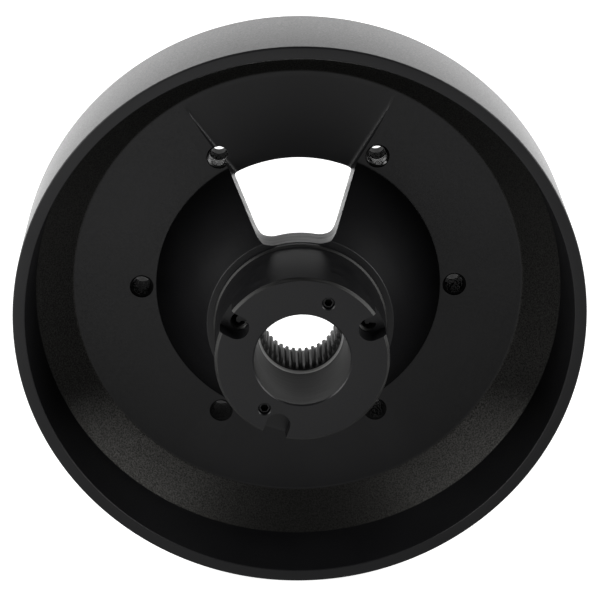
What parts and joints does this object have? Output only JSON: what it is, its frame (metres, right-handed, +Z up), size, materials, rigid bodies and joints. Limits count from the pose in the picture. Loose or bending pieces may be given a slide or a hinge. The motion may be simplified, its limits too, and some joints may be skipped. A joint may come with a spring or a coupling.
{
  "type": "steering wheel hub adapter",
  "caption": "Short steering wheel hub adapter: a black aluminium cup with a pad of tapped wheel holes, a central cone with a wire window, and a splined steel boss.",
  "frame": {"origin": "on the axis, at the end face of the steel boss, where the steering shaft enters", "axes": "+Y along the axis from the column side to the wheel's mounting face, +Z up through the wire window, +X to the right seen from the column side"},
  "size_m": [0.1244, 0.0559, 0.1244],
  "materials": {
    "coated_aluminium": "black coated, satin where machined and grainy as cast on the outer cone",
    "black_steel": "black oxide, bare and brighter in the bore and splines"
  },
  "bodies": {
    "root": {"hub_body": "coated_aluminium", "spline_boss": "black_steel", "set_screw_upper": "black_steel", "set_screw_lower": "black_steel"}
  },
  "joints": []
}
